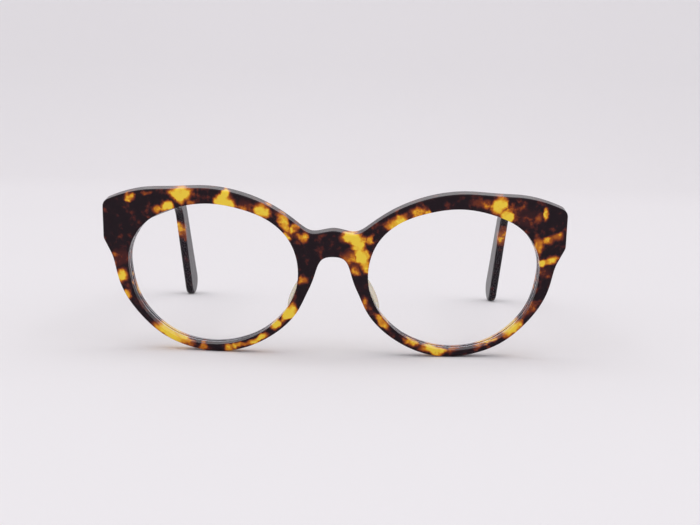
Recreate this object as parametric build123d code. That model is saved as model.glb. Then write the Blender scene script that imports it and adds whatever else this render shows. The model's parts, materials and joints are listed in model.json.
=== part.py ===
from build123d import *
import os
from math import asin, cos, degrees, radians, sin, tan

# Acetate spectacles, open and standing on a table, in millimetres.
# X runs across the face, +Y from the front towards the ears, +Z up. Left and right are the wearer's,
# so the left side is at +X. The left side is modelled, and the right side is its mirror image.
# The origin is on the table, under the middle of the whole object.

# ---- Front ----
LENS_WIDTH = 52.4          # opening, across
LENS_HEIGHT = 44.3         # opening, up
BRIDGE_GAP = 20.8          # between the two lens openings
RIM_BOTTOM = 2.2           # rim width under the lens
RIM_NASAL = 3.3            # rim width beside the nose
RIM_TEMPORAL = 3.7         # rim width beside the temple, under the endpiece
RIM_TOP = 4.6              # brow width over the lens
FRONT_THICK = 5.0
FRONT_RADIUS = 350.0       # bend of the front, seen from above
LEAN_ANGLE = 10.0          # lean of the front against the temples
BRIDGE_DROP = 7.5          # top of the bridge, below the top of the lens openings
BRIDGE_HEIGHT = 7.6        # bridge, from the nose arch up to its top
ARCH_HALF_WIDTH = 5.2      # nose arch, half way across where its sides begin
BRIDGE_HUMP = 0.9          # rise of the bridge's middle over the dips beside it
ENDPIECE_REACH = 7.8       # endpiece, beyond the lens opening
ENDPIECE_HEIGHT = 11.8
ENDPIECE_DROP = 0.9        # endpiece's top, below the top of the lens openings
NOTCH_IN = 2.3             # slope under the endpiece, inwards
NOTCH_DOWN = 4.4           # and downwards
CORNER = 1.5               # endpiece's upper corner
BLUNT = 0.7                # endpiece's lower corner
FRONT_ROUND = 0.6          # rounding of the front's outer edges
OPENING_ROUND = 0.3        # rounding of the lens openings' edges

# ---- Lenses ----
LENS_THICK = 1.8
LENS_CURVE = 200.0         # radius of the lens's front surface
LENS_SEAT = 1.3            # lens's front vertex, behind the front's face
TONGUE_THICK = 0.8         # tongue round the lens's edge
TONGUE_REACH = 0.5
LENS_GAP = 0.05            # clearance all round the lens

# ---- Nose pads ----
PAD_LENGTH = 14.0
PAD_WIDTH = 3.0
PAD_REACH = 6.5            # behind the back of the rim
PAD_FLARE = 1.6            # outwards, over that reach
PAD_BESIDE = 1.9           # pad's root, outwards of the nasal rim's middle
PAD_DROP = 6.85            # middle of the pad, below the lens's middle
PAD_TILT = 25.0            # pads open downwards with the nose

# ---- Temples ----
TEMPLE_THICK = 4.0
TIP_THICK = 2.8
TOE_IN = 1.8               # temple's turn inwards at the hinge
SIDE_RADIUS = 1670.0       # bend of the temple's sides, seen from above
TEMPLE_REACH = 98.0        # from the hinge axis to the bend over the ear
BEND_DROP = 0.5            # middle of the temple at the bend, below the hinge's middle
BEND_HEIGHT = 6.8          # height of the temple there
DROP_ANGLE = 58.0
TIP_WIDTH = 10.0
TOP_BEND_RADIUS = 22.0
UNDER_BEND_RADIUS = 9.0
TEMPLE_ROUND = 0.9
TEMPLE_INSET = 0.3         # temple's upper and lower edges, inside the endpiece's
SIDE_STEP = 0.2            # temple's outer side, inside the endpiece's
END_GAP = 0.15             # between the temple's end and the endpiece
CORE_HEIGHT = 2.2
CORE_THICK = 1.2
CORE_END = 9.0             # core stops this far short of the tip

# ---- Hinges ----
BARRELS = 5                # the front leaf carries the first, third and fifth
HINGE_DROP = 0.3           # hinge's middle, below the endpiece's
BARREL_RADIUS = 1.7
BARREL_HEIGHT = 1.4
BARREL_GAP = 0.3           # between barrels, where a washer sits
WASHER_THICK = 0.2
PLATE_GAP = 0.3            # between the barrels and the front leaf's plate
AXIS_IN = 0.6              # hinge axis, inwards of the temple's inner side
PIVOT_RADIUS = 0.7
RUNNING_GAP = 0.05
PIVOT_HEAD_RADIUS = 1.2
PIVOT_HEAD_HEIGHT = 0.6
SLOT_WIDTH = 0.3
SLOT_DEPTH = 0.25
LEAF_THICK = 1.0
TURN_GAP = 0.2             # between a barrel and what it turns past
FRONT_LEAF_IN = 2.4        # front leaf, inwards of the hinge axis
FRONT_LEAF_OUT = 3.8       # front leaf, outwards of the hinge axis
TEMPLE_LEAF_LENGTH = 9.0
TEMPLE_LEAF_HEIGHT = 6.0
RIVETS_ALONG = 0.55        # middle of the rivets, as a share of the temple leaf
FIXING_RADIUS = 0.5
FIXING_HEAD_RADIUS = 0.8
FIXING_HEAD_HEIGHT = 0.4
FIXING_LENGTH = 2.6        # under the head
FRONT_FIXING_SPACING = 4.4
TEMPLE_FIXING_SPACING = 3.6

LENS_MIDDLE_U = (BRIDGE_GAP + LENS_WIDTH) / 2
LENS_MIDDLE_V = RIM_BOTTOM + LENS_HEIGHT / 2
LENS_TOP = RIM_BOTTOM + LENS_HEIGHT
END_U = BRIDGE_GAP / 2 + LENS_WIDTH + ENDPIECE_REACH
END_X = FRONT_RADIUS * sin(END_U / FRONT_RADIUS)
END_TOP = LENS_TOP - ENDPIECE_DROP
END_BASE = END_TOP - ENDPIECE_HEIGHT
HINGE_HEIGHT = BARRELS * BARREL_HEIGHT + (BARRELS - 1) * BARREL_GAP
AXIS_BACK = BARREL_RADIUS + PLATE_GAP    # hinge axis, behind the front's back
HINGE_V = END_BASE + ENDPIECE_HEIGHT / 2 - HINGE_DROP
HINGE_DEPTH = FRONT_THICK + AXIS_BACK
HINGE_X = END_X - SIDE_STEP - TEMPLE_THICK - AXIS_IN
HINGE_U = FRONT_RADIUS * asin(HINGE_X / (FRONT_RADIUS - HINGE_DEPTH))
FAR = 400.0                # longer than the object, for cutting tools


# ---- The bent front: u runs along its face from the bridge, v up, and depth back from the face ----
def turn_at(u):
    return degrees(u / FRONT_RADIUS)


def front_frame(u, v, depth):
    """A place on the bent front, with +X along it, +Y square to it and back, and +Z up it."""
    radius = FRONT_RADIUS - depth
    angle = u / FRONT_RADIUS
    return Pos(radius * sin(angle), FRONT_RADIUS - radius * cos(angle), v) * Rot(Z=turn_at(u))


def flattened(points, middle_u):
    """Points of the face seen square to it at middle_u, as places in that view's own X and Z."""
    return [Vector(FRONT_RADIUS * sin((u - middle_u) / FRONT_RADIUS), 0, v) for u, v in points]


def bent_slab(near, far):
    """The bent sheet between two depths behind the face."""
    outer = Cylinder(FRONT_RADIUS - near, FAR)
    return Pos(0, FRONT_RADIUS, 0) * (outer - Cylinder(FRONT_RADIUS - far, FAR))


def through(outline, middle_u):
    """What stands inside an outline, carried right through the front square to it at middle_u."""
    blank = extrude(Face(outline), amount=FRONT_RADIUS / 4, dir=(0, 1, 0))
    return front_frame(middle_u, 0, 0) * Pos(0, -FRONT_RADIUS / 12, 0) * blank


def mirrored(shape):
    return shape.mirror(Plane.YZ)


LEAN = Rot(X=LEAN_ANGLE)


# ---- Front ----
def opening_outline(grow):
    """The lens opening, made larger all round by grow, as seen square to the lens."""
    half_w, half_h = LENS_WIDTH / 2 + grow, LENS_HEIGHT / 2 + grow
    shape = [
        (1.0, 0.05), (0.93, 0.46), (0.74, 0.73), (0.44, 0.91), (0.05, 1.0), (-0.33, 0.945),
        (-0.65, 0.80), (-0.88, 0.545), (-0.99, 0.16), (-0.965, -0.18), (-0.85, -0.46),
        (-0.62, -0.75), (-0.30, -0.94), (0.05, -1.0), (0.41, -0.925), (0.70, -0.715), (0.91, -0.39),
    ]
    points = [(LENS_MIDDLE_U + a * half_w, LENS_MIDDLE_V + b * half_h) for a, b in shape]
    return Wire([Edge.make_spline(flattened(points, LENS_MIDDLE_U), periodic=True)])


def beside(share):
    """How far along the face, by halves of the lens opening from its middle, outwards."""
    return LENS_MIDDLE_U + share * LENS_WIDTH / 2


def above(share):
    """How far up the face, by halves of the lens opening from its middle."""
    return LENS_MIDDLE_V + share * LENS_HEIGHT / 2


def brow_points():
    """The front's upper edge, from its middle to the endpiece's corner."""
    bridge_top = LENS_TOP - BRIDGE_DROP
    dip = BRIDGE_HUMP / 2
    return flattened([
        (0, bridge_top + dip),
        (beside(-1) * 0.65, bridge_top - dip),
        (beside(-0.98), bridge_top + 2.2 * BRIDGE_HUMP),
        (beside(-0.725), above(0.955)),
        (beside(-0.378), LENS_TOP + 0.61 * RIM_TOP),
        (beside(0.092), LENS_TOP + RIM_TOP),
        (beside(0.511), above(0.964) + RIM_TOP),
        (beside(0.779), above(0.939) + RIM_TOP),
        (beside(1.027), above(0.869) + RIM_TOP),
        (END_U - CORNER, END_TOP + CORNER / 4),
    ], 0)


def rim_points(notch, arch_side):
    """The front's lower edge, from the slope under the endpiece round to the nose arch."""
    outer_height, inner_height = END_BASE - NOTCH_DOWN, arch_side[1]
    return [notch] + flattened([
        (beside(1) + RIM_TEMPORAL, 0.774 * outer_height),
        (beside(1) + 0.38 * RIM_TEMPORAL, 0.57 * outer_height),
        (beside(0.851), 0.332 * outer_height),
        (beside(0.595), above(-0.905)),
        (beside(0.252), RIM_BOTTOM * 0.39),
        (beside(-0.061), 0),
        (beside(-0.332), RIM_BOTTOM * 0.55),
        (beside(-0.626), above(-0.885)),
        (beside(-0.767) - RIM_NASAL, 0.391 * inner_height),
        (beside(-0.885) - RIM_NASAL, 0.552 * inner_height),
        (beside(-0.966) - RIM_NASAL, 0.724 * inner_height),
        arch_side,
    ], 0)


def front_outline():
    """The front's outline seen from straight ahead: the left half's edges and their mirror image."""
    brow = brow_points()
    side_low, base, notch = flattened([
        (END_U, END_BASE + BLUNT),
        (END_U, END_BASE),
        (END_U - NOTCH_IN, END_BASE - NOTCH_DOWN),
    ], 0)
    under = base + (notch - base).normalized() * BLUNT
    brow_line = Edge.make_spline([Vector(-p.X, p.Y, p.Z) for p in brow[:0:-1]] + brow)
    slope = brow_line % 1                    # the brow's run into the endpiece's side
    to_side = slope * ((side_low.X - brow[-1].X) / slope.X)
    side_top = brow[-1] + to_side - Vector(0, 0, to_side.length)
    arch_top = LENS_TOP - BRIDGE_DROP - BRIDGE_HEIGHT
    arch_side = (ARCH_HALF_WIDTH, arch_top - ARCH_HALF_WIDTH * 0.9)
    arch = flattened([arch_side, (ARCH_HALF_WIDTH * 0.6, arch_top - ARCH_HALF_WIDTH / 7), (0, arch_top)], 0)

    level = Vector(1, 0, 0)
    arch_start = Vector(-0.28, 0, 1)
    half = [
        Edge.make_tangent_arc(brow[-1], slope, side_top),
        Edge.make_line(side_top, side_low),
        Edge.make_tangent_arc(side_low, side_low - side_top, under),
        Edge.make_line(under, notch),
        Edge.make_spline(rim_points(notch, arch_side), tangents=[notch - under, arch_start]),
        Edge.make_spline(arch, tangents=[arch_start, -level]),
    ]
    return Wire.combine([brow_line] + half + [mirrored(edge) for edge in half])[0]


def front_blank():
    front = through(front_outline(), 0) & bent_slab(0, FRONT_THICK)
    front = fillet(front.edges().filter_by(GeomType.LINE, reverse=True), FRONT_ROUND)
    opening = through(opening_outline(0), LENS_MIDDLE_U)
    for cut in (opening, mirrored(opening)):
        before = front.edges()
        front = front - cut
        new = [e for e in front.edges() if e not in before and e.length > LENS_WIDTH]
        front = fillet(new, OPENING_ROUND)
    return front


# ---- Lenses ----
def lens_shell(near, far):
    """The lens's curved layer between two depths behind its front surface."""
    centre = front_frame(LENS_MIDDLE_U, LENS_MIDDLE_V, LENS_SEAT) * Pos(0, LENS_CURVE, 0)
    return centre * (Sphere(LENS_CURVE - near) - Sphere(LENS_CURVE - far))


def lens_layer(grow, near, far):
    return through(opening_outline(grow), LENS_MIDDLE_U) & lens_shell(near, far)


def lens():
    edge = (LENS_THICK - TONGUE_THICK) / 2
    body = lens_layer(-LENS_GAP, 0, LENS_THICK)
    return body + lens_layer(TONGUE_REACH, edge, LENS_THICK - edge)


def lens_groove():
    edge = (LENS_THICK - TONGUE_THICK) / 2 - LENS_GAP
    return lens_layer(TONGUE_REACH + LENS_GAP, edge, LENS_THICK - edge)


# ---- Nose pads ----
def nose_pad():
    """A lofted wedge, from just inside the rim's back to its rounded free edge."""
    root = (BRIDGE_GAP - RIM_NASAL) / 2 + PAD_BESIDE
    sections = []
    for share, length, width in ((-0.1, 1.0, 1.0), (0.45, 0.97, 1.1), (0.85, 0.8, 0.85), (1.0, 0.5, 0.35)):
        place = front_frame(root + PAD_FLARE * max(share, 0) ** 1.5, LENS_MIDDLE_V - PAD_DROP,
                            FRONT_THICK + PAD_REACH * share)
        outline = Ellipse(PAD_WIDTH * width / 2, PAD_LENGTH * length / 2)
        sections.append(place * Rot(Y=-PAD_TILT) * Plane.XZ.location * outline)
    return loft(sections) - bent_slab(0, FRONT_THICK)


# ---- Temple: where its sides and edges run, in the object's own directions ----
HINGE = LEAN * front_frame(HINGE_U, HINGE_V, HINGE_DEPTH)
AXIS_X, AXIS_Y, AXIS_Z = HINGE.position
OUTER_X = AXIS_X + AXIS_IN + TEMPLE_THICK
BLANK = LEAN * front_blank()
TABLE_Z = BLANK.bounding_box().min.Z


def temple_places():
    """Corners of the side view's middle line: the bend over the ear and the tip's centre."""
    bend = Vector(0, AXIS_Y + TEMPLE_REACH, AXIS_Z - BEND_DROP)
    along = Vector(0, cos(radians(DROP_ANGLE)), -sin(radians(DROP_ANGLE)))
    tip = bend + along * ((bend.Z - TABLE_Z - TIP_WIDTH / 2) / sin(radians(DROP_ANGLE)))
    return bend, along, tip


def side_view(lower, upper, bend_half, tip_half, stop_short):
    """The side view between two heights at the hinge, with half widths at the bend and the tip."""
    bend, along, tip = temple_places()
    tip = tip - along * stop_short
    across = Vector(0, -along.Z, along.Y)
    half_turn = radians(DROP_ANGLE) / 2
    mitre = Vector(0, sin(half_turn), cos(half_turn)) * (bend_half / cos(half_turn))
    start = AXIS_Y - 3 * AXIS_BACK
    points = [Vector(0, start, lower), bend - mitre, tip - across * tip_half, tip + along * tip_half,
              tip + across * tip_half, bend + mitre, Vector(0, start, upper)]
    edges = [
        Edge.make_line(points[0], points[1]), Edge.make_line(points[1], points[2]),
        Edge.make_three_point_arc(points[2], points[3], points[4]),
        Edge.make_line(points[4], points[5]), Edge.make_line(points[5], points[6]),
        Edge.make_line(points[6], points[0]),
    ]
    view = Face(Wire(edges))
    under = view.vertices().sort_by_distance(points[1])[0]
    view = view.fillet_2d(UNDER_BEND_RADIUS, [under])
    over = view.vertices().sort_by_distance(points[5])[0]
    view = view.fillet_2d(TOP_BEND_RADIUS, [over])
    return Pos(-FAR / 4, 0, 0) * extrude(view, amount=FAR, dir=(1, 0, 0))


def side_x(behind, inset):
    """The temple's outer side, moved inwards by inset, at a distance behind the hinge axis."""
    return OUTER_X - inset - behind * tan(radians(TOE_IN)) - behind ** 2 / (2 * SIDE_RADIUS)


def plan_view(inset, hinge_thick, tip_thick):
    """The strip seen from above, between the outer side moved inwards by inset and the inner side."""
    reach = temple_places()[2].Y + TIP_WIDTH - AXIS_Y
    start = -3 * AXIS_BACK
    stations = (start, (start + reach) / 2, reach)
    outer, inner = [], []
    for behind in stations:
        share = (behind - start) / (reach - start)
        thick = hinge_thick + (tip_thick - hinge_thick) * share
        outer.append(Vector(side_x(behind, inset), AXIS_Y + behind, 0))
        inner.append(Vector(side_x(behind, inset + thick), AXIS_Y + behind, 0))
    edges = [
        Edge.make_three_point_arc(*outer), Edge.make_line(outer[-1], inner[-1]),
        Edge.make_three_point_arc(*reversed(inner)), Edge.make_line(inner[0], outer[0]),
    ]
    return Pos(0, 0, -FAR / 4) * extrude(Face(Wire(edges)), amount=FAR, dir=(0, 0, 1))


def temple_blank():
    low_end = LEAN * front_frame(HINGE_U, END_BASE, FRONT_THICK)
    top_end = LEAN * front_frame(HINGE_U, END_TOP, FRONT_THICK)
    lower, upper = low_end.position.Z + TEMPLE_INSET, top_end.position.Z - TEMPLE_INSET
    view = side_view(lower, upper, BEND_HEIGHT / 2, TIP_WIDTH / 2, 0)
    blank = view & plan_view(0, TEMPLE_THICK, TIP_THICK)
    return fillet(blank.edges().filter_by(Axis.X, reverse=True), TEMPLE_ROUND)


def temple_core():
    half = CORE_HEIGHT / 2
    view = side_view(AXIS_Z - half, AXIS_Z + half, half, half, CORE_END)
    return view & plan_view((TEMPLE_THICK - CORE_THICK) / 2, CORE_THICK, CORE_THICK)


# ---- Hinge: built about its axis, with +X outwards and +Y back ----
TEMPLE_HINGE = LEAN * Pos(front_frame(HINGE_U, HINGE_V, HINGE_DEPTH).position) * Rot(Z=TOE_IN)
TEMPLE_LEAF = Pos(HINGE.position) * Rot(Z=TOE_IN)
LEAF_START = BARREL_RADIUS + TURN_GAP + TEMPLE_LEAF_HEIGHT / 2 * sin(radians(LEAN_ANGLE))


def box(x, y, z):
    """A box from pairs of limits."""
    sizes = [high - low for low, high in (x, y, z)]
    middles = [(high + low) / 2 for low, high in (x, y, z)]
    return Pos(*middles) * Box(*sizes)


def barrel_base(number):
    return -HINGE_HEIGHT / 2 + number * (BARREL_HEIGHT + BARREL_GAP)


def disc(radius, low, high):
    return Pos(0, 0, (low + high) / 2) * Cylinder(radius, high - low)


def barrels(numbers, x, y):
    """Barrels, each with a neck between x and y limits that joins it to its leaf."""
    made = []
    for number in numbers:
        low = barrel_base(number)
        made.append(disc(BARREL_RADIUS, low, low + BARREL_HEIGHT) + box(x, y, (low, low + BARREL_HEIGHT)))
    return made


def front_leaf_plate(above):
    """The front leaf's plate, and as far above its outer face as asked."""
    return box((-FRONT_LEAF_IN, FRONT_LEAF_OUT), (-AXIS_BACK - LEAF_THICK, above - AXIS_BACK),
               (-HINGE_HEIGHT / 2, HINGE_HEIGHT / 2))


def pivot_screw():
    top = HINGE_HEIGHT / 2
    head = disc(PIVOT_HEAD_RADIUS, top - PIVOT_HEAD_HEIGHT, top)
    slot = box((-FAR, FAR), (-SLOT_WIDTH / 2, SLOT_WIDTH / 2), (top - SLOT_DEPTH, top + SLOT_DEPTH))
    return disc(PIVOT_RADIUS, -top, top) + head - slot


def washers():
    """A washer in each gap, against the barrel of the front leaf."""
    rings = []
    for gap in range(BARRELS - 1):
        low = barrel_base(gap) + BARREL_HEIGHT
        if gap % 2:
            low = barrel_base(gap + 1) - WASHER_THICK
        high = low + WASHER_THICK
        rings.append(disc(BARREL_RADIUS, low, high) - disc(PIVOT_RADIUS + RUNNING_GAP, low, high))
    return Compound(rings)


def hinge_front():
    leaf = front_leaf_plate(0)
    for barrel in barrels(range(0, BARRELS, 2), (-BARREL_RADIUS, BARREL_RADIUS), (-AXIS_BACK, 0)):
        leaf = leaf + barrel
    top = HINGE_HEIGHT / 2
    bore = disc(PIVOT_RADIUS, -top, top) + disc(PIVOT_HEAD_RADIUS, top - PIVOT_HEAD_HEIGHT, top)
    return HINGE * (leaf - bore)


def temple_leaf_plate():
    half = TEMPLE_LEAF_HEIGHT / 2
    plate = box((AXIS_IN, AXIS_IN + LEAF_THICK), (LEAF_START, LEAF_START + TEMPLE_LEAF_LENGTH), (-half, half))
    return TEMPLE_LEAF * plate


def hinge_temple():
    leaf = temple_leaf_plate()
    neck_x = (AXIS_IN - LEAF_THICK / 2, AXIS_IN + LEAF_THICK)
    for barrel in barrels(range(1, BARRELS, 2), neck_x, (0, LEAF_START + LEAF_THICK)):
        leaf = leaf + TEMPLE_HINGE * barrel
    bore = disc(PIVOT_RADIUS + RUNNING_GAP, -HINGE_HEIGHT, HINGE_HEIGHT)
    return leaf - TEMPLE_HINGE * bore


def fixing():
    """A pin with a flat head, standing along +Z with its head's top at the origin."""
    head = disc(FIXING_HEAD_RADIUS, -FIXING_HEAD_HEIGHT, 0)
    return head + disc(FIXING_RADIUS, -FIXING_HEAD_HEIGHT - FIXING_LENGTH, 0)


def front_pins():
    """Two pins that hold the front leaf, driven from behind, beside its barrels."""
    x = (BARREL_RADIUS + FRONT_LEAF_OUT) / 2
    places = [Pos(x, -AXIS_BACK, side * FRONT_FIXING_SPACING / 2) * Rot(X=-90) for side in (-1, 1)]
    return [HINGE * place * fixing() for place in places]


def temple_rivets():
    """Two rivets that hold the temple leaf, driven from the inner side."""
    middle = LEAF_START + TEMPLE_LEAF_LENGTH * RIVETS_ALONG
    places = [Pos(AXIS_IN, middle + side * TEMPLE_FIXING_SPACING / 2, 0) * Rot(Y=-90) for side in (-1, 1)]
    return [TEMPLE_LEAF * place * fixing() for place in places]


def hinge_room():
    """What the temple leaves free: the front's end, and the barrels with their necks as they turn."""
    room = HINGE_HEIGHT / 2 + TURN_GAP
    clear = BARREL_RADIUS + TURN_GAP
    ahead = box((-FAR / 8, FAR / 8), (-FAR / 8, END_GAP - AXIS_BACK), (-FAR / 8, FAR / 8))
    necks = box((-2 * clear, clear), (-2 * AXIS_BACK, 0), (-room, room))
    return HINGE * (ahead + necks + disc(clear, -room, room))


# ---- The whole left side, then both sides ----
def side_pieces():
    """The left side's pieces by name, and what the front leaves free for them."""
    hinge_leaf, temple_leaf = hinge_front(), hinge_temple()
    pins, rivets = front_pins(), temple_rivets()
    for pin in pins:
        hinge_leaf = hinge_leaf - pin
    for rivet in rivets:
        temple_leaf = temple_leaf - rivet
    core_start = LEAF_START + TEMPLE_LEAF_LENGTH
    core = temple_core() - TEMPLE_LEAF * box((-FAR, FAR), (-FAR, core_start), (-FAR, FAR))
    temple = temple_blank() - hinge_room() - core - temple_leaf - temple_leaf_plate()
    for rivet in rivets:
        temple = temple - rivet
    pieces = {
        "lens": LEAN * lens(),
        "nose_pad": LEAN * nose_pad(),
        "hinge_front": hinge_leaf,
        "hinge_temple": temple_leaf,
        "hinge_screw": HINGE * pivot_screw(),
        "hinge_washers": HINGE * washers(),
        "front_hinge_pins": Compound(pins),
        "temple": temple,
        "temple_core": core,
        "temple_rivets": Compound(rivets),
    }
    return pieces, [LEAN * lens_groove(), HINGE * front_leaf_plate(END_GAP)] + pins


def assembly():
    pieces, pockets = side_pieces()
    front = BLANK
    for pocket in pockets:
        front = front - pocket - mirrored(pocket)
    nodes = {"front": front}
    for name, piece in pieces.items():
        nodes[name + "_left"] = piece
        nodes[name + "_right"] = mirrored(piece)
    middle_y = (BLANK.bounding_box().min.Y + pieces["temple"].bounding_box().max.Y) / 2
    settle = Pos(0, -middle_y, -TABLE_Z)
    return {name: settle * node for name, node in nodes.items()}


if __name__ == "__main__":
    os.makedirs("parts", exist_ok=True)
    for name, node in assembly().items():
        export_step(node, f"parts/{name}.step")
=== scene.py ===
import json
import math

import bmesh
import bpy
from mathutils import Matrix, Vector


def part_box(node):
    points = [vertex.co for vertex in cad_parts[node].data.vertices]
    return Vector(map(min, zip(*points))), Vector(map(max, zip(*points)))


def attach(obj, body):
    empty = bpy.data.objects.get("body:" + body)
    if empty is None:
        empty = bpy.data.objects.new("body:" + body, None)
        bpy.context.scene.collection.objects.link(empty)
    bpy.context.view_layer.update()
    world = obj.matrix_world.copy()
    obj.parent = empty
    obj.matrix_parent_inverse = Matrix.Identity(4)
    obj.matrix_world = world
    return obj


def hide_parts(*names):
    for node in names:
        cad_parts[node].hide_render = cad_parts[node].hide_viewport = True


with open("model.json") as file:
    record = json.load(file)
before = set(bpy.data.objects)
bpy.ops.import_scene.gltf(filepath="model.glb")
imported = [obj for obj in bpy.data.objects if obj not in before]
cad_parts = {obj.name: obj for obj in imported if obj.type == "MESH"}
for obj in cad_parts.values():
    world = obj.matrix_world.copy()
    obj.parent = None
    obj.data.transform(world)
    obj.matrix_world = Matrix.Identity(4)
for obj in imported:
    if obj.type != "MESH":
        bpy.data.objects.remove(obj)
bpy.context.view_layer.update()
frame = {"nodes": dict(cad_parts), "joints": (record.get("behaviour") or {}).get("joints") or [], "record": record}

MM = 0.001
SIDES = ("left", "right")


# ---- Node networks ----

class Socket:
    """An output in a network, on which the usual operators add Math nodes."""

    def __init__(self, network, out):
        self.network, self.out = network, out

    def math(self, operation, *others):
        return self.network.math(operation, self, *others)

    def __add__(self, other):
        return self.math("ADD", other)

    def __sub__(self, other):
        return self.math("SUBTRACT", other)

    def __mul__(self, other):
        return self.math("MULTIPLY", other)

    def __truediv__(self, other):
        return self.math("DIVIDE", other)

    def __neg__(self):
        return self.math("MULTIPLY", -1.0)

    def __rsub__(self, other):
        return self.network.math("SUBTRACT", other, self)

    def __rtruediv__(self, other):
        return self.network.math("DIVIDE", other, self)

    __radd__, __rmul__ = __add__, __mul__


class Network:
    """A node tree under construction."""

    def __init__(self, tree):
        self.tree = tree

    def node(self, kind, settings=None, inputs=None, output=0):
        """Adds a node, sets its settings, then its sockets' values or links, and gives one output."""
        made = self.tree.nodes.new(kind)
        for name, value in (settings or {}).items():
            if name == "stops":
                self.set_stops(made.color_ramp, value)
            else:
                setattr(made, name, value)
        for name, value in (inputs or {}).items():
            for one in value if isinstance(value, list) else [value]:
                if isinstance(one, Socket):
                    self.tree.links.new(one.out, made.inputs[name])
                else:
                    made.inputs[name].default_value = one
        return Socket(self, made.outputs[output])

    @staticmethod
    def set_stops(ramp, stops):
        while len(ramp.elements) < len(stops):
            ramp.elements.new(1.0)
        for element, (place, colour) in zip(ramp.elements, stops):
            element.position = place
            element.color = (*colour, 1.0)

    def math(self, operation, *values):
        return self.node("ShaderNodeMath", {"operation": operation}, dict(enumerate(values)))


class Finish(Network):
    """A material: a Principled shader and the nodes that vary it."""

    def __init__(self, name, **constants):
        self.material = bpy.data.materials.new(name)
        self.material.use_nodes = True
        super().__init__(self.material.node_tree)
        self.shader = self.tree.nodes["Principled BSDF"]
        for socket, value in constants.items():
            self.shader.inputs[socket.replace("_", " ")].default_value = value

    def place(self):
        return self.node("ShaderNodeTexCoord", output="Object")

    def noise(self, place, size, detail=2.0, output="Fac"):
        """Noise whose grains are about size metres across."""
        inputs = {"Vector": place, "Scale": 1.0 / size, "Detail": detail}
        return self.node("ShaderNodeTexNoise", None, inputs, output)

    def vector_math(self, operation, inputs):
        output = "Value" if operation == "LENGTH" else "Vector"
        return self.node("ShaderNodeVectorMath", {"operation": operation}, inputs, output)

    def stretched(self, place, scale):
        return self.node("ShaderNodeMapping", None, {"Vector": place, "Scale": scale})

    def warp(self, place, size, reach):
        """The place, pushed about by up to reach."""
        push = self.noise(place, size, output="Color")
        push = self.vector_math("SUBTRACT", {0: push, 1: (0.5, 0.5, 0.5)})
        push = self.vector_math("SCALE", {0: push, "Scale": 2 * reach})
        return self.vector_math("ADD", {0: place, 1: push})

    def fade(self, value, start, end, low=0.0, high=1.0):
        """A soft step: low at start, high at end."""
        inputs = {"Value": value, "From Min": start, "From Max": end, "To Min": low, "To Max": high}
        return self.node("ShaderNodeMapRange", {"interpolation_type": "SMOOTHSTEP"}, inputs)

    def ramp(self, value, stops):
        return self.node("ShaderNodeValToRGB", {"stops": stops}, {"Fac": value}, "Color")

    def bump(self, height, distance):
        inputs = {"Height": height, "Distance": distance, "Strength": 1.0}
        return self.node("ShaderNodeBump", None, inputs, "Normal")

    def feed(self, **values):
        for socket, value in values.items():
            self.tree.links.new(value.out, self.shader.inputs[socket.replace("_", " ")])
        return self.material


class Piece(Network):
    """A Geometry Nodes tree that makes one turned piece along Z, then sets it at each given place."""

    def __init__(self, name, sizes):
        super().__init__(bpy.data.node_groups.new(name, "GeometryNodeTree"))
        interface = self.tree.interface
        kinds = {"Places": "Geometry", **{size: "Float" for size in sizes}, "Axis": "Vector"}
        self.sockets = {}
        for given, kind in kinds.items():
            socket_type = "NodeSocket" + kind
            self.sockets[given] = interface.new_socket(given, in_out="INPUT", socket_type=socket_type)
        interface.new_socket("Piece", in_out="OUTPUT", socket_type="NodeSocketGeometry")
        self.given = self.tree.nodes.new("NodeGroupInput")

    def size(self, name):
        return Socket(self, self.given.outputs[name])

    def along(self, z):
        return self.node("ShaderNodeCombineXYZ", None, {"Z": z})

    def moved(self, geometry, z):
        return self.node("GeometryNodeTransform", None, {"Geometry": geometry, "Translation": self.along(z)})

    def turned(self, low, height, bottom, top, sides=40):
        """A closed cylinder or cone from low upwards, with its two radii."""
        inputs = {"Vertices": sides, "Radius Bottom": bottom, "Radius Top": top, "Depth": height}
        return self.moved(self.node("GeometryNodeMeshCone", None, inputs, "Mesh"), low)

    def swept(self, path, section):
        inputs = {"Curve": path, "Profile Curve": section, "Fill Caps": True}
        return self.node("GeometryNodeCurveToMesh", None, inputs)

    def joined(self, *pieces):
        return self.node("GeometryNodeJoinGeometry", None, {"Geometry": list(pieces)})

    def close(self, geometry, material):
        """Sets the piece at each place with its Z along the axis, as one real mesh."""
        turn = self.node("FunctionNodeAlignRotationToVector", {"axis": "Z"}, {"Vector": self.size("Axis")})
        inputs = {"Points": self.size("Places"), "Instance": geometry, "Rotation": turn}
        placed = self.node("GeometryNodeInstanceOnPoints", None, inputs)
        real = self.node("GeometryNodeRealizeInstances", None, {"Geometry": placed})
        done = self.node("GeometryNodeSetMaterial", None, {"Geometry": real, "Material": material})
        end = self.tree.nodes.new("NodeGroupOutput")
        self.tree.links.new(done.out, end.inputs["Piece"])
        return self


# ---- Acetate ----

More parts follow.
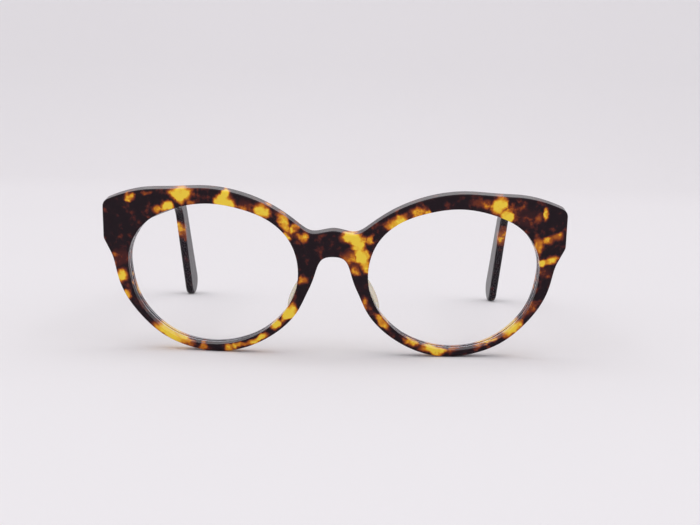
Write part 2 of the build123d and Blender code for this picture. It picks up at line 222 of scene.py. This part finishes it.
# Amber islands in the front: middle (x, z), half sizes, turn (degrees, rising to the left), and
# brightness, in millimetres. They reach right through the sheet.
FRONT_ISLANDS = [
    (-64.7, 28.5, 3.0, 3.2, 0, 0.34), (-45.7, 48.6, 3.0, 2.2, 0, 1.0), (-46.0, 47.3, 1.6, 1.6, 0, 0.9),
    (-53.3, 43.7, 1.5, 1.4, 0, 0.72), (-50.1, 44.5, 1.9, 1.5, 20, 0.95), (-42.8, 46.0, 1.4, 1.1, 0, 0.7),
    (-61.5, 47.0, 1.1, 1.2, 0, 0.7), (-56.0, 48.6, 1.8, 0.8, 15, 0.5), (-32.6, 46.0, 2.7, 2.4, 0, 1.0),
    (-32.4, 48.4, 1.2, 2.0, 0, 0.95), (-26.5, 45.4, 2.6, 2.2, 0, 0.34), (-21.5, 44.2, 2.3, 2.4, -25, 0.95),
    (-14.9, 41.0, 1.3, 3.0, 30, 0.86), (-13.9, 36.9, 1.5, 1.4, 0, 0.8), (-9.3, 36.6, 1.8, 1.2, -30, 0.7),
    (-11.5, 39.0, 1.3, 1.6, 0, 0.6), (-8.7, 23.2, 1.5, 1.3, 0, 0.66), (-13.2, 13.2, 2.8, 1.7, 40, 0.97),
    (-17.0, 9.8, 1.8, 1.4, 40, 0.8), (-22.3, 4.6, 3.6, 0.8, 24, 0.84), (-28.3, 2.3, 4.2, 0.7, 10, 0.74),
    (-39.3, 1.2, 1.4, 1.2, 0, 0.78), (-31.4, 0.9, 1.6, 1.1, 0, 0.8), (-49.2, 5.0, 6.2, 1.7, -27, 1.0),
    (-64.4, 22.7, 1.9, 1.9, 0, 0.85), (-62.9, 16.7, 1.0, 1.7, 20, 0.7), (-59.6, 18.6, 0.9, 2.6, 28, 0.75),
    (-57.3, 14.2, 1.6, 1.6, 0, 0.42), (6.0, 36.4, 3.3, 1.9, -8, 1.0), (8.9, 30.6, 1.7, 4.0, 27, 1.0),
    (7.4, 34.0, 2.0, 1.8, 0, 0.95), (4.9, 30.4, 2.3, 2.4, 0, 0.56), (6.7, 27.2, 1.6, 1.6, 0, 0.6),
    (10.8, 35.9, 1.0, 1.7, 0, 0.7), (18.9, 41.6, 3.3, 1.7, 33, 0.9), (24.7, 44.9, 2.8, 1.6, 20, 0.56),
    (27.7, 44.4, 1.0, 1.5, 0, 0.7), (43.6, 47.8, 4.0, 1.4, 0, 0.46), (48.9, 47.2, 1.9, 2.8, -8, 1.0),
    (51.2, 43.9, 2.1, 1.8, -25, 1.0), (56.5, 44.1, 5.6, 3.6, -15, 0.27), (63.3, 44.8, 0.7, 1.7, 0, 0.8),
    (67.2, 37.8, 2.4, 1.4, 10, 0.66), (64.6, 36.6, 1.8, 1.2, 0, 0.6), (61.8, 35.0, 1.4, 2.8, 12, 0.7),
    (64.8, 30.4, 3.0, 1.1, 14, 0.82), (64.0, 27.0, 3.2, 2.2, 0, 0.3), (61.0, 24.3, 0.9, 3.4, 0, 0.7),
    (59.5, 14.9, 2.1, 2.4, -30, 0.46), (54.7, 8.9, 3.2, 1.8, 42, 1.0), (47.4, 5.1, 4.0, 1.1, 25, 0.85),
    (30.8, 2.2, 3.4, 1.4, -8, 0.95), (24.0, 4.7, 2.8, 1.2, -25, 0.6), (15.3, 11.0, 1.1, 3.0, 38, 0.8),
    (9.9, 16.6, 1.4, 2.2, 20, 0.4), (37.6, 2.7, 1.8, 1.1, 0, 0.6),
]

ISLAND_DEPTH = 40 * MM                  # far more than the sheet's thickness
ISLAND_RIM, ISLAND_CORE = 1.8, 0.45     # where an island fades in and is full, in its own half sizes
ISLAND_BLEND = 0.12                     # how softly two islands run together
PER_PATCH = 190                         # one over the half size, in metres, of the patch under the bend
POLISHED = {"Roughness": 0.1, "IOR": 1.49, "Specular_IOR_Level": 0.16, "Coat_Weight": 0.0}
SHELL_STOPS = [
    (0.0, (0.0062, 0.0024, 0.0060)), (0.20, (0.015, 0.0042, 0.0075)), (0.35, (0.068, 0.012, 0.011)),
    (0.50, (0.21, 0.040, 0.011)), (0.66, (0.50, 0.135, 0.012)), (0.80, (0.78, 0.34, 0.018)),
    (0.97, (0.93, 0.66, 0.055)),
]


def island_field(finish, place, middle_y):
    """How amber the front is at a place: the brightest of the islands that reach it."""
    field = None
    for x, z, half_x, half_z, turn, brightness in FRONT_ISLANDS:
        inputs = {"Vector": place, "Location": (x * MM, middle_y, z * MM),
                  "Rotation": (0, -math.radians(turn), 0), "Scale": (half_x * MM, ISLAND_DEPTH, half_z * MM)}
        local = finish.node("ShaderNodeMapping", {"vector_type": "TEXTURE"}, inputs)
        away = finish.vector_math("LENGTH", {0: local})
        island = finish.fade(away, ISLAND_RIM, ISLAND_CORE, 0.0, brightness)
        field = island if field is None else field.math("SMOOTH_MAX", island, ISLAND_BLEND)
    return field


def front_acetate(middle_y):
    """Polished tortoiseshell acetate with the front's own islands."""
    finish = Finish("front_tortoiseshell", **POLISHED)
    place = finish.place()
    pushed = finish.warp(finish.warp(place, 3.6 * MM, 1.6 * MM), 1.2 * MM, 0.35 * MM)
    return shell_colour(finish, place, island_field(finish, pushed, middle_y))


def shell_colour(finish, place, amber):
    """Turns the amber field into the sheet's colours, with smoke in both the clear and the dark."""
    smoke = finish.noise(place, 2.6 * MM, 3.0)
    tone = amber * (smoke * 0.75 + 0.64) + finish.fade(smoke, 0.45, 0.75, 0.0, 0.34)
    wave = finish.noise(place, 3.0 * MM, 1.0)
    rough = finish.noise(place, 1.5 * MM, 2.0) * 0.08 + 0.07
    colour = finish.ramp(tone, SHELL_STOPS)
    return finish.feed(Base_Color=colour, Roughness=rough, Normal=finish.bump(wave, 0.03 * MM))


def temple_acetate(bend_y):
    """The same acetate, with long patches along the temples, a near-black end and a patch under the bend."""
    finish = Finish("temple_tortoiseshell", **POLISHED)
    place = finish.place()
    pushed = finish.warp(place, 5.0 * MM, 2.0 * MM)
    grain = finish.noise(finish.stretched(pushed, (0.4, 0.55, 1.0)), 7.0 * MM, 1.0)
    patches = finish.fade(grain, 0.55, 0.66, 0.0, 0.9)
    behind = finish.node("ShaderNodeSeparateXYZ", None, {"Vector": pushed}, "Y")
    patches = patches * finish.fade(behind, bend_y - 4 * MM, bend_y - 20 * MM)
    below_bend = finish.vector_math("SUBTRACT", {0: pushed, 1: (0, bend_y + 5 * MM, 27 * MM)})
    below_bend = finish.vector_math("MULTIPLY", {0: below_bend, 1: (0, PER_PATCH, PER_PATCH)})
    patch = finish.fade(finish.vector_math("LENGTH", {0: below_bend}), 1.3, 0.4, 0.0, 0.56)
    return shell_colour(finish, place, patches.math("MAXIMUM", patch))


def pad_acetate():
    finish = Finish("honey_acetate", Roughness=0.2, IOR=1.49, Coat_Weight=0.5, Subsurface_Weight=0.3)
    finish.shader.inputs["Subsurface Radius"].default_value = (2 * MM, 1.2 * MM, 0.6 * MM)
    cloud = finish.noise(finish.place(), 4 * MM, 3.0)
    colour = finish.ramp(cloud, [(0.3, (0.88, 0.74, 0.42)), (0.7, (0.95, 0.86, 0.62))])
    return finish.feed(Base_Color=colour, Alpha=cloud * 0.3 + 0.4)


# ---- Lens and metals ----

def lens_clear():
    """Coated plastic: clear from straight ahead, with a faint mirror at a glance."""
    finish = Finish("clear_lens", Metallic=1.0, Roughness=0.02)
    film = finish.noise(finish.place(), 20 * MM, 1.0)
    tint = finish.ramp(film, [(0.3, (0.80, 0.84, 0.90)), (0.7, (0.88, 0.86, 0.92))])
    glance = finish.node("ShaderNodeLayerWeight", None, {"Blend": 0.22}, "Fresnel")
    return finish.feed(Base_Color=tint, Alpha=glance * 0.4)


def brushed(name, dark, bright, grain):
    """Drawn or filed metal: fine lines along Z and small stains."""
    finish = Finish(name, Metallic=1.0, Roughness=0.3)
    place = finish.place()
    scratch = finish.noise(finish.stretched(place, (1.0, 1.0, 0.06)), grain, 4.0)
    stain = finish.noise(place, 1.5 * MM, 3.0)
    colour = finish.ramp(stain, [(0.35, dark), (0.65, bright)])
    rough = scratch * 0.25 + 0.18
    return finish.feed(Base_Color=colour, Roughness=rough, Normal=finish.bump(scratch, 0.02 * MM))


def nylon():
    finish = Finish("nylon_washer", Roughness=0.45)
    cloud = finish.noise(finish.place(), 0.6 * MM)
    tint = finish.ramp(cloud, [(0.3, (0.70, 0.69, 0.64)), (0.7, (0.8, 0.79, 0.75))])
    return finish.feed(Base_Color=tint)


# ---- Turned pieces of the hinges ----

SCREW_SIZES = {"Radius": 0.7 * MM, "Head_Height": 0.6 * MM, "Slot_Width": 0.3 * MM, "Slot_Depth": 0.25 * MM,
               "Pitch": 0.35 * MM}
WASHER_SIZES = {"Inner_Radius": 0.75 * MM, "Thickness": 0.2 * MM}
PIN_SIZES = {"Length": 3.0 * MM, "Radius": 0.5 * MM, "Head_Height": 0.4 * MM}
EDGE_BREAK = 0.07 * MM
SAME_POINT = 0.002 * MM
FLAT_ANGLE, CREASE_ANGLE, CORNER_ANGLE = (math.radians(a) for a in (1, 32, 40))
FRONT_BEND = math.radians(11)           # the front's turn at its hinges
TOE_IN = math.radians(1.8)              # each temple's turn towards the other


def flat_ends(node, axis, reach):
    """The middle and radius of each flat end that a node's turned pieces show towards an axis."""
    mesh = frame["nodes"][node].data
    seen = {tuple(round(part, 6) for part in mesh.vertices[number].co)
            for face in mesh.polygons if face.normal.dot(axis) > 0.999 for number in face.vertices}
    groups = []
    for corner in map(Vector, sorted(seen)):
        for group in groups:
            step = corner - group[0]
            if step.length < reach and abs(step.dot(axis)) < 0.05 * MM:
                group.append(corner)
                break
        else:
            groups.append([corner])
    ends = []
    for group in groups:
        middle = sum(group, Vector()) / len(group)
        ends.append((middle, max((corner - middle).length for corner in group)))
    return ends


def slotted_screw(material):
    """A cheese-headed screw, with its head's top at the origin and a rolled thread below."""
    sizes = ["Length", "Radius", "Head Radius", "Head Height", "Slot Width", "Slot Depth", "Pitch"]
    screw = Piece("slotted_screw", sizes)
    length, core_radius = screw.size("Length"), screw.size("Radius") * 0.88
    head_radius, head_height = screw.size("Head Radius"), screw.size("Head Height")
    head = screw.turned(-head_height, head_height, head_radius, head_radius * 0.94)
    slot_size = screw.node("ShaderNodeCombineXYZ", None, {
        "X": head_radius * 4, "Y": screw.size("Slot Width"), "Z": screw.size("Slot Depth") * 2})
    slot = screw.node("GeometryNodeMeshCube", None, {"Size": slot_size}, "Mesh")
    head = screw.node("GeometryNodeMeshBoolean", {"operation": "DIFFERENCE"}, {0: head, 1: [slot]}, "Mesh")
    shank = screw.turned(-length, length - head_height * 0.5, core_radius, core_radius)
    thread_length = length - head_height * 1.3
    helix = screw.node("GeometryNodeCurveSpiral", None, {
        "Resolution": 20, "Rotations": thread_length / screw.size("Pitch"), "Height": thread_length,
        "Start Radius": core_radius, "End Radius": core_radius})
    ridge = screw.node("GeometryNodeCurvePrimitiveCircle", None, {
        "Resolution": 4, "Radius": screw.size("Pitch") * 0.3})
    thread = screw.moved(screw.swept(helix, ridge), -length + screw.size("Pitch") * 0.3)
    return screw.close(screw.joined(head, shank, thread), material)


def domed_pin(material):
    """A pin with a low domed head, whose crown is at the origin."""
    pin = Piece("domed_pin", ["Length", "Radius", "Head Radius", "Head Height"])
    length, radius = pin.size("Length"), pin.size("Radius")
    head_radius, head_height = pin.size("Head Radius"), pin.size("Head Height")
    round_inputs = {"Segments": 32, "Rings": 24, "Radius": head_radius}
    ball = pin.node("GeometryNodeMeshUVSphere", None, round_inputs, "Mesh")
    flatten = pin.node("ShaderNodeCombineXYZ", None, {"X": 1.0, "Y": 1.0, "Z": head_height / head_radius})
    dome = pin.node("GeometryNodeTransform", None, {
        "Geometry": ball, "Translation": pin.along(-head_height), "Scale": flatten})
    shank = pin.turned(-length, length - head_height, radius * 0.8, radius, 24)
    return pin.close(pin.joined(dome, shank), material)


def washer_ring(material):
    """A pressed washer with rounded rims, whose top is at the origin."""
    ring = Piece("washer_ring", ["Outer Radius", "Inner Radius", "Thickness"])
    outer, inner, thick = ring.size("Outer Radius"), ring.size("Inner Radius"), ring.size("Thickness")
    path = ring.node("GeometryNodeCurvePrimitiveCircle", None, {
        "Resolution": 48, "Radius": (outer + inner) * 0.5})
    wide = ring.node("GeometryNodeCurvePrimitiveQuadrilateral", None, {
        "Width": outer - inner, "Height": thick})
    section = ring.node("GeometryNodeFilletCurve", {"mode": "POLY"}, {
        "Curve": wide, "Count": 2, "Radius": thick * 0.3})
    return ring.close(ring.moved(ring.swept(path, section), -0.5 * thick), material)


def made(name, piece, places, axis, **sizes):
    """Runs a piece's tree on its places and keeps the result as a plain mesh."""
    seat = bpy.data.meshes.new(name + "_places")
    seat.from_pydata(places, [], [])
    maker = bpy.data.objects.new(name, seat)
    bpy.context.collection.objects.link(maker)
    modifier = maker.modifiers.new("pieces", "NODES")
    modifier.node_group = piece.tree
    modifier[piece.sockets["Axis"].identifier] = tuple(axis)
    for size, value in sizes.items():
        modifier[piece.sockets[size.replace("_", " ")].identifier] = value
    return plain(maker, name)


def plain(maker, name):
    """The evaluated object as a plain mesh of its own, smooth but for its real edges."""
    graph = bpy.context.evaluated_depsgraph_get()
    mesh = bpy.data.meshes.new_from_object(maker.evaluated_get(graph))
    bpy.data.objects.remove(maker)
    mesh.shade_smooth()
    mesh.set_sharp_from_angle(angle=CREASE_ANGLE)
    piece = bpy.data.objects.new(name, mesh)
    bpy.context.collection.objects.link(piece)
    return piece


def fit(piece, node):
    """Lets a piece stand for a CAD node and ride on its body."""
    bodies = frame["record"]["behaviour"]["bodies"]
    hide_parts(node)
    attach(piece, next(body for body, nodes in bodies.items() if node in nodes))


def softened(node, width, material):
    """A copy of a part with its edges broken, by no more than its shortest edges leave room for."""
    mesh = frame["nodes"][node].data.copy()
    shape = bmesh.new()
    shape.from_mesh(mesh)
    bmesh.ops.remove_doubles(shape, verts=shape.verts, dist=SAME_POINT)
    bmesh.ops.dissolve_limit(shape, angle_limit=FLAT_ANGLE, verts=shape.verts, edges=shape.edges)
    shape.to_mesh(mesh)
    shape.free()
    mesh.materials.clear()
    mesh.materials.append(material)
    maker = bpy.data.objects.new(node + "_soft", mesh)
    bpy.context.collection.objects.link(maker)
    bevel = maker.modifiers.new("edges", "BEVEL")
    bevel.width, bevel.segments = width, 2
    bevel.limit_method, bevel.angle_limit = "ANGLE", CORNER_ANGLE
    return plain(maker, node + "_filed")


def pivot(side, axis, joint, material):
    """The slotted screw, as long below the joint's point as above it."""
    node = f"hinge_screw_{side}"
    head, head_radius = max(flat_ends(node, axis, 3 * MM), key=lambda end: end[0].dot(axis))
    middle = Vector(joint["pos_m"])
    head = middle + axis * (head - middle).dot(axis)
    screw = made(f"pivot_screw_{side}", material, [head], axis, Length=2 * (head - middle).length,
                 Head_Radius=head_radius, **SCREW_SIZES)
    fit(screw, node)


def washers(side, axis, material):
    node = f"hinge_washers_{side}"
    tops = flat_ends(node, axis, 4 * MM)
    rings = made(f"washers_{side}", material, [middle for middle, radius in tops], axis,
                 Outer_Radius=tops[0][1], **WASHER_SIZES)
    fit(rings, node)


def domed_pins(node, towards, material):
    """Pins whose heads face the way given."""
    heads = flat_ends(node, towards, 1.7 * MM)
    pins = made(node + "_domed", material, [middle for middle, radius in heads], towards,
                Head_Radius=heads[0][1], **PIN_SIZES)
    fit(pins, node)


def hinge(side, metals):
    """The turned and filed parts of one hinge, set on its joint's axis."""
    joint = next(j for j in frame["joints"] if j["child"] == f"temple_{side}")
    axis = Vector(joint["axis"])
    axis = axis if axis.z > 0 else -axis
    outwards = 1 if side == "left" else -1
    pivot(side, axis, joint, metals["screw"])
    washers(side, axis, metals["washer"])
    lean = Matrix.Rotation(math.asin(-axis.y), 3, "X")
    backwards = lean @ Matrix.Rotation(FRONT_BEND * outwards, 3, "Z") @ Vector((0, 1, 0))
    inwards = Matrix.Rotation(TOE_IN * outwards, 3, "Z") @ Vector((-outwards, 0, 0))
    domed_pins(f"front_hinge_pins_{side}", backwards, metals["pin"])
    domed_pins(f"temple_rivets_{side}", inwards, metals["pin"])
    for node in (f"hinge_front_{side}", f"hinge_temple_{side}"):
        fit(softened(node, EDGE_BREAK, metals["nickel"]), node)


# ---- Every piece and its finish ----

def paint(node, material):
    mesh = frame["nodes"][node].data
    mesh.materials.clear()
    mesh.materials.append(material)


BEND_AHEAD = 29 * MM                    # where the temples turn down, ahead of their ends
low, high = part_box("front")
temple_low, temple_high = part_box("temple_left")
nickel = brushed("nickel_silver", (0.50, 0.47, 0.42), (0.66, 0.63, 0.58), 0.12 * MM)
steel = brushed("screw_steel", (0.50, 0.50, 0.51), (0.72, 0.72, 0.73), 0.08 * MM)
drawn = brushed("drawn_wire", (0.42, 0.40, 0.37), (0.58, 0.56, 0.52), 0.10 * MM)
side_shell = temple_acetate(temple_high.y - BEND_AHEAD)
paint("front", front_acetate((low.y + high.y) / 2))
clear, honey = lens_clear(), pad_acetate()
metals = {"screw": slotted_screw(steel), "pin": domed_pin(steel), "washer": washer_ring(nylon()),
          "nickel": nickel}
for side in SIDES:
    paint(f"temple_{side}", side_shell)
    paint(f"lens_{side}", clear)
    paint(f"nose_pad_{side}", honey)
    paint(f"temple_core_{side}", drawn)
    hinge(side, metals)


# ---- Studio ----

def sweep():
    """A floor that curves up into a backdrop."""
    front_y, turn_y, radius, top, half = -1.2, 0.9, 0.5, 1.6, 2.2
    profile = [(front_y, 0.0), (turn_y, 0.0)]
    for step in range(1, 17):
        angle = math.radians(90) * step / 16
        profile.append((turn_y + radius * math.sin(angle), radius * (1 - math.cos(angle))))
    profile.append((turn_y + radius, top))
    vertices = [(x, y, z) for y, z in profile for x in (-half, half)]
    faces = [(2 * i, 2 * i + 1, 2 * i + 3, 2 * i + 2) for i in range(len(profile) - 1)]
    mesh = bpy.data.meshes.new("sweep")
    mesh.from_pydata(vertices, [], faces)
    for polygon in mesh.polygons:
        polygon.use_smooth = True
    made = bpy.data.objects.new("sweep", mesh)
    bpy.context.collection.objects.link(made)
    finish = Finish("pale_paper", Roughness=0.8, Specular_IOR_Level=0.05)
    cloud = finish.noise(finish.place(), 0.6)
    tint = finish.ramp(cloud, [(0.3, (0.835, 0.815, 0.825)), (0.7, (0.850, 0.832, 0.842))])
    mesh.materials.append(finish.feed(Base_Color=tint))


def softbox(name, place, target, size, power):
    """A white area light turned to a target, in metres and watts."""
    light = bpy.data.lights.new(name, "AREA")
    light.shape, light.size, light.size_y = "RECTANGLE", size[0], size[1]
    light.energy = power
    made = bpy.data.objects.new(name, light)
    bpy.context.collection.objects.link(made)
    made.location = place
    made.rotation_euler = (Vector(target) - Vector(place)).to_track_quat("-Z", "Y").to_euler()


def surroundings():
    """Even, slightly cool light from all round."""
    world = bpy.data.worlds.new("studio")
    bpy.context.scene.world = world
    world.use_nodes = True
    world.node_tree.nodes["Background"].inputs["Color"].default_value = (0.975, 0.96, 1.0, 1)
    world.node_tree.nodes["Background"].inputs["Strength"].default_value = 0.75


def camera():
    """A camera a little above the object, straight ahead of its middle."""
    place = Vector((CAMERA_X, low.y - CAMERA_AHEAD, CAMERA_HEIGHT))
    yaw, pitch, roll = (math.radians(a) for a in (CAMERA_YAW, CAMERA_PITCH, CAMERA_ROLL))
    ahead = Vector((math.sin(yaw) * math.cos(pitch), math.cos(yaw) * math.cos(pitch), -math.sin(pitch)))
    right = Vector((math.cos(yaw), -math.sin(yaw), 0))
    up = right.cross(ahead)
    right, up = math.cos(roll) * right + math.sin(roll) * up, math.cos(roll) * up - math.sin(roll) * right
    data = bpy.data.cameras.new("camera")
    data.sensor_width, data.lens = 36.0, 65.3
    data.clip_start = 0.01
    made = bpy.data.objects.new("camera", data)
    bpy.context.collection.objects.link(made)
    made.matrix_world = Matrix.Translation(place) @ Matrix((right, up, -ahead)).transposed().to_4x4()
    bpy.context.scene.camera = made


CAMERA_X, CAMERA_AHEAD, CAMERA_HEIGHT = 9.9 * MM, 374.1 * MM, 72.4 * MM
CAMERA_YAW, CAMERA_PITCH, CAMERA_ROLL = -0.74, 6.55, 1.30
sweep()
surroundings()
softbox("overhead", (0, -0.3, 1.2), (0, -0.3, 0), (1.8, 1.4), 5.8)
softbox("behind", (0, 0.95, 0.6), (0, 0, 0), (1.6, 0.4), 0.8)
softbox("back_wash", (0, 1.0, 1.1), (0, 1.4, 0.4), (1.6, 0.4), 0.9)
camera()
bpy.context.scene.view_settings.view_transform = "Standard"
